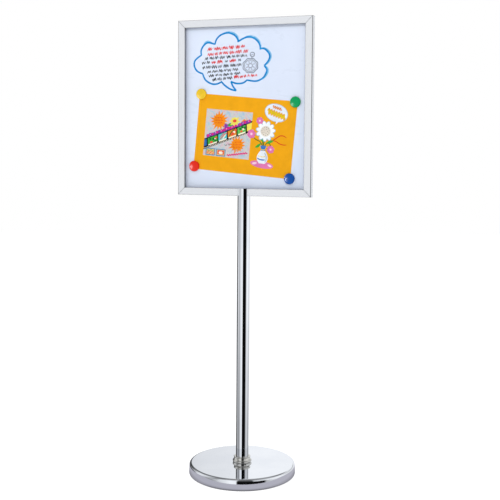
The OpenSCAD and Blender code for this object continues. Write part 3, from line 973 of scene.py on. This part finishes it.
def notice_bubble():
    bubble = printed("bubble_rim", 0, "haze")
    bubble.shape(ellipse(92.5, 75.6, 36.6, 26.2, -13, 64))
    bubble.done()
    bubble = printed("bubble", 1, "pale")
    bubble.shape(ellipse(92.5, 75.6, 35.2, 24.8, -13, 64))
    bubble.shape([(91, 54), (102, 53), (99, 47), (93, 42), (94.5, 48)])
    bubble.done()
    strokes = printed("bubble_marks", 3, "gold")
    edges = printed("bubble_mark_edges", 2, "sun")
    broad = wave((66, 79.5), (121, 64), 12.5, 7)
    strokes.stroke(broad, 3.4)
    edges.stroke(broad, 5.6)
    edges.stroke(wave((80, 93.5), (108, 86.5), 6.5, 5), 2.6)
    strokes.done()
    edges.done()


board_drawing()
notice_picture()
notice_bouquet()
notice_bubble()


# ---------- studio ----------

CAMERA_AZIMUTH = 18.969  # degrees round from the front to the right


def studio_world():
    """White for the camera, even light for matt surfaces, and light and dark flags for polished ones."""
    world = bpy.data.worlds.new("studio")
    bpy.context.scene.world = world
    world.use_nodes = True
    world.node_tree.nodes.clear()
    w = Nodes(world.node_tree)

    axes = w.node("SeparateXYZ", {"Vector": w.node("TexCoord").outputs["Generated"]}).outputs
    turn = w.math("ARCTAN2", axes["X"], w.math("MULTIPLY", axes["Y"], -1.0))
    turn = w.math("SUBTRACT", turn, math.radians(CAMERA_AZIMUTH))
    turn = w.node("Math", {0: turn, 1: math.pi, 2: -math.pi}, operation="WRAP").outputs[0]
    share = w.math("ADD", w.math("MULTIPLY", turn, 1 / (2 * math.pi)), 0.5)
    chrome_tint, chrome_white = (0.965, 0.99, 1.03), 0.86

    def flags(*stops):
        """Grey levels, 0 to 255, as chrome shows them, by degrees right of the camera's azimuth."""
        return w.ramp(share, [((turned + 180) / 360, tuple(t * linear(grey, grey, grey)[0] / chrome_white
                                                           for t in chrome_tint) + (1,))
                              for turned, grey in stops])

    back, left_sky, right_sky = (-180, 230), (-176, 221), (176, 240)
    front = ((-157, 25), (-142, 20), (-127, 30), (-116, 110), (-106, 168), (-97, 182), (-82, 146),
             (-67, 140), (-57, 166), (-48, 208), (-33, 231), (-24, 243), (-12.5, 240), (-10, 11), (49, 14),
             (53, 170), (67, 192), (82, 212), (97, 196), (112, 158), (127, 168), (160, 176))
    below = flags((-180, 60), *front, (172, 160))
    level = flags((-180, 60), (-157, 30), (-142, 20), (-127, 30), (-118, 90), (-110, 225), (-97, 232),
                  (-84, 185), (-76, 172), (-64, 200), (-55, 224), (-48, 228), (-33, 231), (-24, 247),
                  (-12.5, 244), (-10, 9), (49, 12), (54, 190), (67, 244), (82, 252), (97, 250), (112, 226),
                  (127, 220), (160, 232), (172, 205))
    glance = flags(back, left_sky, (-173, 104), *front, (166, 226), right_sky)
    band = flags(back, left_sky, (-173, 96), (-152, 90), (-138, 140), (-125, 200), (-112, 232), (-97, 242),
                 (-82, 225), (-67, 160), (-55, 136), (-49, 226), (-33, 231), (-24, 243), (-12, 236),
                 (-9, 66), (22, 70), (27, 232), (52, 247), (75, 242), (97, 232), (118, 210), (130, 216),
                 (147, 226), (166, 240), right_sky)
    high = flags((-172, 140), (-157, 98), (-127, 136), (-97, 184), (-82, 176), (-62, 138), (-50, 142),
                 (-38, 212), (-12, 205), (-9, 82), (24, 92), (28, 150), (50, 180), (82, 176), (112, 140),
                 (142, 112), (172, 130))
    roof = flags((-180, 131), (-90, 104), (-60, 138), (-20, 176), (-8, 112), (22, 97), (45, 124),
                 (75, 150), (165, 150), (180, 131))
    # each belt of the sky takes over between two heights, given as the sine of the elevation
    seen = below
    for start, end, belt in ((-0.30, -0.13, level), (-0.01, 0.06, band), (0.25, 0.27, glance),
                             (0.35, 0.37, band), (0.54, 0.66, high), (0.78, 0.87, roof)):
        seen = w.mixed(w.span(axes["Z"], 0, 1, start, end), seen, belt)

    path = w.node("LightPath").outputs
    seen = w.mixed(path["Is Diffuse Ray"], seen, (0.20, 0.205, 0.215, 1))
    seen = w.mixed(path["Is Camera Ray"], seen, (1, 1, 1, 1))
    background = w.node("Background", {"Color": seen, "Strength": 1.0})
    w.node("OutputWorld", {"Surface": background.outputs[0]})


studio_world()


def mirrored_floor():
    """A painted reflection for the chrome: a glowing lilac-grey disc seen only in reflections of the floor
    close to the base, with painted shade darker under the rim.
    """
    material = bpy.data.materials.new("floor_mirrored")
    material.use_nodes = True
    material.node_tree.nodes.clear()
    f = Nodes(material.node_tree)
    place = f.node("TexCoord").outputs["Object"]
    reach = f.node("VectorMath", {0: place}, operation="LENGTH").outputs["Value"]
    painted_reflection_tone = f.mixed(f.span(reach, 0, 1, 0.158, 0.200), (0.21, 0.205, 0.23, 1), (0.50, 0.495, 0.565, 1))
    light = f.node("Emission", {"Color": painted_reflection_tone})
    f.node("OutputMaterial", {"Surface": light.outputs[0]})
    return material


def floor():
    """A plain pale floor, and a glowing disc close to the base that only the chrome sees, as a painted
    reflection of the floor.
    """
    s = Surface("floor_paint", Roughness=0.9)
    s.color(s.ramp(s.noise(3), [(0.3, (0.93, 0.93, 0.94, 1)), (0.7, (0.95, 0.95, 0.955, 1))]))
    s.shader.inputs["Emission Color"].default_value = (1, 1, 1, 1)
    s.shader.inputs["Emission Strength"].default_value = 0.8
    sides = 96
    for name, radius, z, material in (("floor", 9.0, -0.0002, s.material),
                                      ("floor_mirrored", 0.25, -0.0004, mirrored_floor())):
        verts = [(x, y, z) for x, y in ellipse(0, 0, radius, radius, steps=sides)]
        plane = piece(name, verts, [tuple(range(sides))], material, None)
        near = name != "floor"
        plane.visible_glossy = near
        plane.visible_camera = plane.visible_diffuse = plane.visible_shadow = not near


floor()


def lamp(name, place, aim, size, power, color=(1, 1, 1)):
    light = bpy.data.lights.new(name, "AREA")
    light.shape, light.size, light.size_y = "RECTANGLE", size[0], size[1]
    light.energy, light.color = power, color
    obj = bpy.data.objects.new(name, light)
    bpy.context.scene.collection.objects.link(obj)
    obj.location = place
    obj.rotation_mode = "QUATERNION"
    obj.rotation_quaternion = (Vector(aim) - Vector(place)).to_track_quat("-Z", "Y")
    obj.visible_glossy = False
    return obj


lamp("key", (1.25, -2.9, 2.9), (0, 0, 1.05), (0.55, 0.55), 40)
lamp("fill", (-0.9, -1.0, 2.05), (-0.1, 0, 1.2), (1.3, 1.1), 8.8, (0.95, 0.98, 1.0))
# a small highlight on each cap, which no other piece receives
for side, caps, x in (("left", ("yellow", "red"), -1.75), ("right", ("green", "blue"), -1.22)):
    glint = lamp("glint_" + side, (x, -2.5, 0.74), (0, 0, 1.1), (0.34, 0.6), 32)
    glint.visible_glossy, glint.visible_diffuse = True, False
    lit = bpy.data.collections.new("caps_" + side)
    for color in caps:
        lit.objects.link(NODES[f"magnet_{color}_cap"])
    glint.light_linking.receiver_collection = lit


# ---------- camera ----------

def camera():
    """The photograph's view: 19 degrees round to the right, from about the height of the notice."""
    turn, tilt, roll = (math.radians(a) for a in (CAMERA_AZIMUTH, 4.752, 0.426))
    place = (0.9142, -2.6017, 0.9793)
    right = Vector((math.cos(turn), math.sin(turn), 0))
    level = Vector((-math.sin(turn), math.cos(turn), 0))
    up = Vector((0, 0, 1))
    ahead = level * math.cos(tilt) - up * math.sin(tilt)
    above = up * math.cos(tilt) + level * math.sin(tilt)
    side = right * math.cos(roll) + above * math.sin(roll)
    top = above * math.cos(roll) - right * math.sin(roll)
    data = bpy.data.cameras.new("camera")
    data.sensor_width, data.lens = 36.0, 66.24
    data.shift_x, data.shift_y = 0.0, -0.04
    data.clip_start, data.clip_end = 0.05, 60
    cam = bpy.data.objects.new("camera", data)
    bpy.context.scene.collection.objects.link(cam)
    facing = Matrix((side, top, -ahead)).transposed().to_4x4()
    cam.matrix_world = Matrix.Translation(place) @ facing
    bpy.context.scene.camera = cam


camera()

view = bpy.context.scene.view_settings
view.view_transform, view.look, view.exposure, view.gamma = "Standard", "None", 0.0, 1.0

bpy.context.view_layer.update()
